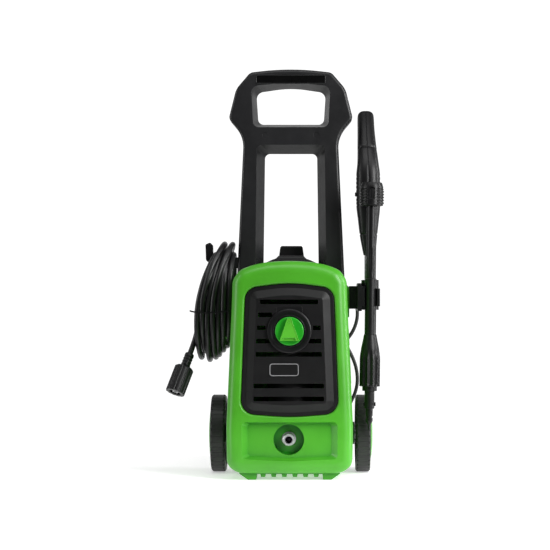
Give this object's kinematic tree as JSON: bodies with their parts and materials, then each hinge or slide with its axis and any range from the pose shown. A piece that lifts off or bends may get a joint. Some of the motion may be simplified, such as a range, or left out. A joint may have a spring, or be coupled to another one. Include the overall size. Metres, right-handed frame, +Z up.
{
  "type": "pressure washer",
  "caption": "Upright electric pressure washer with wheels, tall loop handle, front power knob, coiled high-pressure hose and power cord, and a lance and trigger gun stored on its side.",
  "frame": {"origin": "on the floor under the middle of the object's box, measured without the free cord and hose", "axes": "+X to the right seen from the front, +Y to the back, +Z up"},
  "size_m": [0.4144, 0.2826, 0.7838],
  "materials": {
    "green_shell": "satin moulded polypropylene",
    "green_knob": "satin moulded plastic",
    "green_pointer": "satin moulded plastic",
    "black_panel": "fine-textured moulded plastic",
    "black_frame": "satin moulded plastic",
    "black_trim": "satin moulded plastic",
    "wheel_plastic": "matt moulded plastic",
    "hose_rubber": "smooth extruded rubber",
    "cord_rubber": "matt rubber sheath",
    "rubber_mount": "matt rubber",
    "steel": "zinc-plated steel",
    "aluminium": "cast and machined",
    "brass": "machined",
    "copper_part": "copper segments",
    "inner_plastic": "moulded nylon",
    "carbon": "pressed carbon",
    "iron": "laminated steel"
  },
  "bodies": {
    "machine": {"axle": "steel", "carbon_brushes": "carbon", "casing_screws": "steel", "cord_coil": "cord_rubber", "cord_gland": "cord_rubber", "cord_hook": "black_trim", "cord_lead": "cord_rubber", "cord_loose_turn": "cord_rubber", "cord_tail": "cord_rubber", "front_casing": "green_shell", "front_panel": "black_panel", "gear_case": "inner_plastic", "handle_front": "black_frame", "handle_rear": "black_frame", "handle_screws": "steel", "hose_coil": "hose_rubber", "hose_gun_end": "steel", "hose_hook": "black_trim", "hose_sleeve": "black_trim", "hose_tail": "hose_rubber", "hose_tie": "black_trim", "knob_collar": "black_trim", "lance_holder": "black_trim", "motor_housing": "iron", "motor_stator": "iron", "outlet_connector": "aluminium", "panel_badge": "black_panel", "piston_springs": "steel", "pistons": "steel", "power_plug": "cord_rubber", "pressure_switch": "inner_plastic", "pump_head": "aluminium", "pump_mounts": "rubber_mount", "rear_casing": "green_shell", "switch_box": "inner_plastic", "water_inlet": "brass", "wheel_washers": "steel"},
    "knob": {"power_knob": "green_knob", "knob_pointer": "green_pointer"},
    "left_wheel_body": {"left_wheel": "wheel_plastic", "left_hub_cap": "green_shell"},
    "right_wheel_body": {"right_wheel": "wheel_plastic", "right_hub_cap": "green_shell"},
    "rotor_body": {"rotor": "iron", "commutator": "copper_part", "cooling_fan": "inner_plastic", "pinion": "steel"},
    "drive_body": {"drive_gear": "steel", "swash_plate": "steel"},
    "lance": {"lance_tube": "black_trim", "lance_grip": "black_trim", "bayonet_plug": "black_trim", "nozzle_core": "brass"},
    "nozzle": {"nozzle_collar": "black_trim"},
    "gun": {"gun_left_shell": "black_trim", "gun_right_shell": "black_trim", "gun_barrel": "steel"},
    "trigger_body": {"trigger": "black_trim"},
    "trigger_lock_body": {"trigger_lock": "black_trim"},
    "hose_nut_body": {"hose_nut": "black_trim"}
  },
  "joints": [
    {"name": "knob_turn", "type": "hinge", "parent": "machine", "child": "knob", "pos_m": [-0.006, -0.122, 0.2775], "axis": [0, 1, 0], "range_deg": [0, 55]},
    {"name": "left_wheel_spin", "type": "hinge", "parent": "machine", "child": "left_wheel_body", "pos_m": [-0.146, 0.06, 0.075], "axis": [1, 0, 0], "continuous": true},
    {"name": "right_wheel_spin", "type": "hinge", "parent": "machine", "child": "right_wheel_body", "pos_m": [0.134, 0.06, 0.075], "axis": [1, 0, 0], "continuous": true},
    {"name": "motor_spin", "type": "hinge", "parent": "machine", "child": "rotor_body", "pos_m": [-0.006, 0.01, 0.25], "axis": [0, 0, 1], "continuous": true},
    {"name": "drive_gear_spin", "type": "hinge", "parent": "machine", "child": "drive_body", "pos_m": [-0.006, -0.03, 0.18], "axis": [0, 0, 1], "continuous": true},
    {"name": "lance_pull", "type": "slide", "parent": "machine", "child": "lance", "axis": [0, -1, 0], "range_m": [0, 0.08]},
    {"name": "nozzle_turn", "type": "hinge", "parent": "lance", "child": "nozzle", "pos_m": [0.14947, -0.027, 0.536], "axis": [0.0122, 0, 0.9999], "range_deg": [-90, 90]},
    {"name": "gun_lift", "type": "slide", "parent": "machine", "child": "gun", "axis": [0, 0, 1], "range_m": [0, 0.12]},
    {"name": "trigger_pull", "type": "hinge", "parent": "gun", "child": "trigger_body", "pos_m": [0.145, 0.058, 0.484], "axis": [1, 0, 0], "range_deg": [0, 10], "stiffness_Nm_per_rad": 2, "springref_deg": -5.73},
    {"name": "trigger_lock_push", "type": "slide", "parent": "gun", "child": "trigger_lock_body", "axis": [1, 0, 0], "range_m": [0, 0.004]},
    {"name": "hose_nut_spin", "type": "hinge", "parent": "machine", "child": "hose_nut_body", "pos_m": [-0.21565, -0.02661, 0.18397], "axis": [-0.317, -0.3522, -0.8806], "continuous": true}
  ],
  "couplings": [
    {"joint": "drive_gear_spin", "follows": "motor_spin", "ratio": -0.25}
  ]
}
